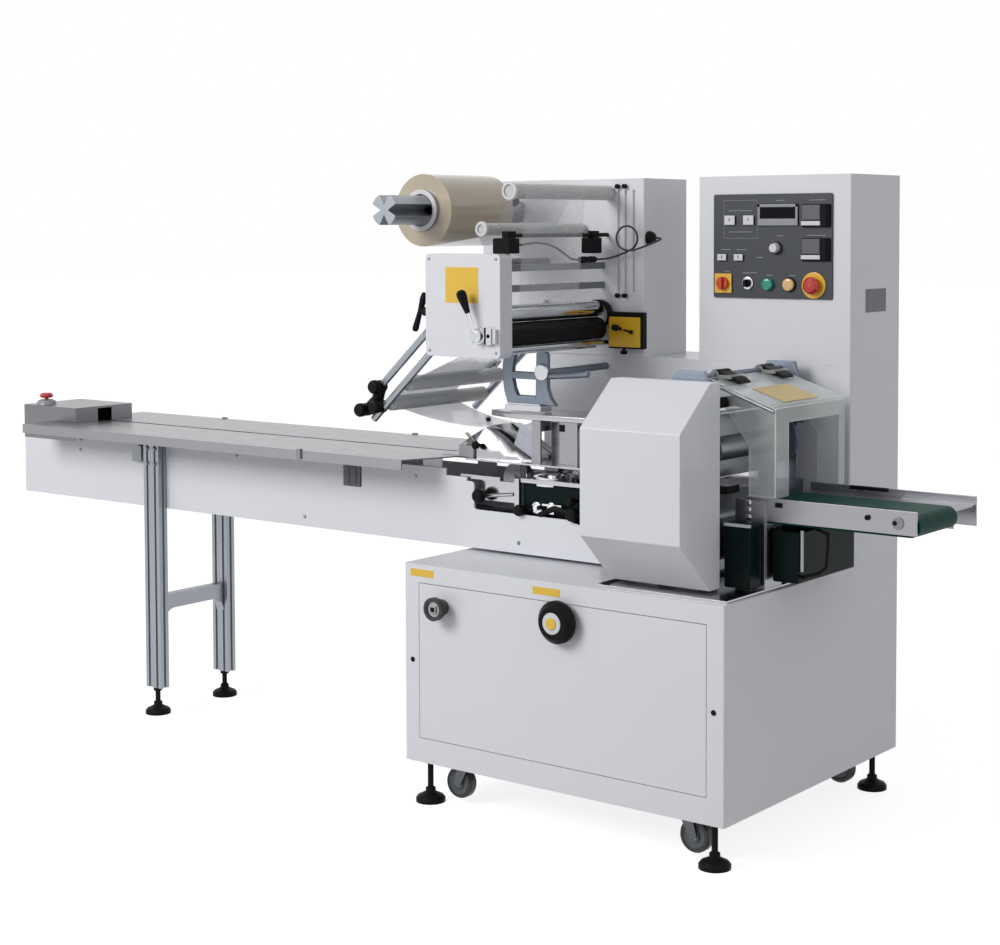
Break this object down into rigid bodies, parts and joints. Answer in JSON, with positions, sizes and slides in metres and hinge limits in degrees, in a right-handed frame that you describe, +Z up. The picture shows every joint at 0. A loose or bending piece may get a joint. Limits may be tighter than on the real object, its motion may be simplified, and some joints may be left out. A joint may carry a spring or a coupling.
{
  "type": "horizontal flow wrapper",
  "caption": "Free-standing pillow-packing machine: long infeed table with pusher chain, film reel and forming box, rotary end-sealing jaws under a hood and clear guard, short outfeed belt.",
  "frame": {"origin": "middle of the machine's footprint rectangle, on the floor", "axes": "+X along the product flow from infeed to outfeed, +Y from the operator's side to the back, +Z up"},
  "size_m": [2.889, 0.845, 1.4785],
  "materials": {
    "white_paint": "smooth cool off-white powder coat",
    "stainless": "brushed stainless sheet",
    "aluminium": "satin anodised",
    "cast_metal": "machined casting",
    "black_plastic": "moulded, satin",
    "panel_black": "satin black",
    "chrome": "polished",
    "steel": "machined steel",
    "rubber": "smooth ground rubber",
    "belt_green": "dark green woven belt, satin top",
    "film": "clear packing film",
    "film_roll": "wound clear film, tan in the mass",
    "acrylic": "clear acrylic sheet",
    "yellow": "orange-yellow paint",
    "red": "red moulded",
    "cable": "black sheathed cable",
    "grey_plastic": "moulded grey"
  },
  "bodies": {
    "machine": {"base_cabinet": "white_paint", "cabinet_door": "white_paint", "levelling_feet": "black_plastic", "rear_housing": "white_paint", "electrical_cabinet": "white_paint", "control_panel": "panel_black", "panel_instruments": "grey_plastic", "film_head_box": "white_paint", "head_fittings": "black_plastic", "front_bearing_box": "white_paint", "tie_bars": "steel", "nip_drive_block": "yellow", "sensor_bar": "black_plastic", "sensor_cable_lead": "cable", "cable_connector": "black_plastic", "sensor_cable_tail": "cable", "film_web": "film", "guide_arms": "aluminium", "infeed_side_plate": "white_paint", "infeed_beam": "white_paint", "infeed_end_box": "stainless", "infeed_table": "stainless", "infeed_chain": "steel", "infeed_legs": "aluminium", "forming_box": "stainless", "fin_seal_unit": "stainless", "yoke_bracket": "cast_metal", "sealing_bridge": "stainless", "deck_tray": "stainless", "jaw_frame": "cast_metal", "end_seal_hood": "white_paint", "outfeed_frame": "stainless", "outfeed_belt": "belt_green"},
    "film_reel": {"film_roll": "film_roll", "roll_shaft": "aluminium"},
    "upper_idler": {"upper_idler": "aluminium"},
    "lower_idler": {"lower_idler": "aluminium"},
    "feed_roller": {"feed_roller": "rubber"},
    "pressure_roller": {"pressure_roller": "chrome"},
    "release_lever": {"release_lever": "steel"},
    "side_handle": {"side_handle": "black_plastic"},
    "handwheel": {"handwheel": "black_plastic"},
    "adjust_knob": {"adjust_knob": "grey_plastic"},
    "clear_guard": {"clear_guard": "acrylic"},
    "upper_jaw": {"upper_jaw": "steel"},
    "lower_jaw": {"lower_jaw": "steel"},
    "panel_estop": {"panel_estop": "red"},
    "infeed_estop": {"infeed_estop": "red"},
    "main_switch": {"main_switch": "red"},
    "selector_switch": {"selector_switch": "black_plastic"},
    "speed_dial": {"speed_dial": "black_plastic"},
    "front_left_caster_fork": {"front_left_caster_fork": "steel"},
    "front_left_caster_wheel": {"front_left_caster_wheel": "rubber"},
    "front_right_caster_fork": {"front_right_caster_fork": "steel"},
    "front_right_caster_wheel": {"front_right_caster_wheel": "rubber"},
    "rear_left_caster_fork": {"rear_left_caster_fork": "steel"},
    "rear_left_caster_wheel": {"rear_left_caster_wheel": "rubber"},
    "rear_right_caster_fork": {"rear_right_caster_fork": "steel"},
    "rear_right_caster_wheel": {"rear_right_caster_wheel": "rubber"}
  },
  "joints": [
    {"name": "film_reel_spin", "type": "hinge", "parent": "machine", "child": "film_reel", "pos_m": [0.1485, -0.0705, 1.391], "axis": [0, 1, 0], "continuous": true},
    {"name": "upper_idler_spin", "type": "hinge", "parent": "machine", "child": "upper_idler", "pos_m": [0.4365, -0.0305, 1.433], "axis": [0, 1, 0], "continuous": true},
    {"name": "lower_idler_spin", "type": "hinge", "parent": "machine", "child": "lower_idler", "pos_m": [0.3535, -0.0305, 1.345], "axis": [0, 1, 0], "continuous": true},
    {"name": "feed_roller_spin", "type": "hinge", "parent": "machine", "child": "feed_roller", "pos_m": [0.4135, -0.0405, 1.098], "axis": [0, 1, 0], "continuous": true},
    {"name": "pressure_roller_spin", "type": "hinge", "parent": "machine", "child": "pressure_roller", "pos_m": [0.4135, -0.0405, 1.1476], "axis": [0, 1, 0], "continuous": true},
    {"name": "release_lever_turn", "type": "hinge", "parent": "machine", "child": "release_lever", "pos_m": [0.3865, -0.2905, 1.099], "axis": [0, 1, 0], "range_deg": [0, 90]},
    {"name": "side_handle_turn", "type": "hinge", "parent": "machine", "child": "side_handle", "pos_m": [0.2085, -0.2585, 1.15], "axis": [-1, 0, 0], "range_deg": [0, 80]},
    {"name": "handwheel_turn", "type": "hinge", "parent": "machine", "child": "handwheel", "pos_m": [0.6835, -0.3705, 0.485], "axis": [0, -1, 0], "continuous": true},
    {"name": "adjust_knob_turn", "type": "hinge", "parent": "machine", "child": "adjust_knob", "pos_m": [0.3445, -0.3705, 0.475], "axis": [0, -1, 0], "range_deg": [-135, 135]},
    {"name": "guard_lift", "type": "hinge", "parent": "machine", "child": "clear_guard", "pos_m": [0.9435, -0.0355, 1.025], "axis": [0, -1, 0], "range_deg": [0, 145]},
    {"name": "lower_jaw_spin", "type": "hinge", "parent": "machine", "child": "lower_jaw", "pos_m": [0.9485, -0.0455, 0.705], "axis": [0, 1, 0], "continuous": true},
    {"name": "upper_jaw_spin", "type": "hinge", "parent": "machine", "child": "upper_jaw", "pos_m": [0.9485, -0.0455, 0.865], "axis": [0, 1, 0], "continuous": true},
    {"name": "main_switch_turn", "type": "hinge", "parent": "machine", "child": "main_switch", "pos_m": [0.7655, 0.1725, 1.215], "axis": [0, -1, 0], "range_deg": [0, 90]},
    {"name": "selector_turn", "type": "hinge", "parent": "machine", "child": "selector_switch", "pos_m": [0.8315, 0.1725, 1.216], "axis": [0, -1, 0], "range_deg": [-45, 45]},
    {"name": "speed_dial_turn", "type": "hinge", "parent": "machine", "child": "speed_dial", "pos_m": [0.9075, 0.1725, 1.299], "axis": [0, -1, 0], "range_deg": [-135, 135]},
    {"name": "panel_estop_press", "type": "slide", "parent": "machine", "child": "panel_estop", "axis": [0, 1, 0], "range_m": [0, 0.005]},
    {"name": "infeed_estop_press", "type": "slide", "parent": "machine", "child": "infeed_estop", "axis": [0, 0, -1], "range_m": [0, 0.005]},
    {"name": "front_left_caster_swivel", "type": "hinge", "parent": "machine", "child": "front_left_caster_fork", "pos_m": [0.3615, -0.2985, 0.09], "axis": [0, 0, 1], "continuous": true},
    {"name": "front_left_caster_roll", "type": "hinge", "parent": "front_left_caster_fork", "child": "front_left_caster_wheel", "pos_m": [0.3395, -0.2985, 0.049], "axis": [0, 1, 0], "continuous": true},
    {"name": "front_right_caster_swivel", "type": "hinge", "parent": "machine", "child": "front_right_caster_fork", "pos_m": [0.9655, -0.2985, 0.09], "axis": [0, 0, 1], "continuous": true},
    {"name": "front_right_caster_roll", "type": "hinge", "parent": "front_right_caster_fork", "child": "front_right_caster_wheel", "pos_m": [0.9875, -0.2985, 0.049], "axis": [0, 1, 0], "continuous": true},
    {"name": "rear_left_caster_swivel", "type": "hinge", "parent": "machine", "child": "rear_left_caster_fork", "pos_m": [0.3615, 0.3505, 0.09], "axis": [0, 0, 1], "continuous": true},
    {"name": "rear_left_caster_roll", "type": "hinge", "parent": "rear_left_caster_fork", "child": "rear_left_caster_wheel", "pos_m": [0.3395, 0.3505, 0.049], "axis": [0, 1, 0], "continuous": true},
    {"name": "rear_right_caster_swivel", "type": "hinge", "parent": "machine", "child": "rear_right_caster_fork", "pos_m": [0.9655, 0.3505, 0.09], "axis": [0, 0, 1], "continuous": true},
    {"name": "rear_right_caster_roll", "type": "hinge", "parent": "rear_right_caster_fork", "child": "rear_right_caster_wheel", "pos_m": [0.9875, 0.3505, 0.049], "axis": [0, 1, 0], "continuous": true}
  ],
  "couplings": [
    {"joint": "pressure_roller_spin", "follows": "feed_roller_spin", "ratio": -1.45},
    {"joint": "upper_jaw_spin", "follows": "lower_jaw_spin", "ratio": -1}
  ]
}
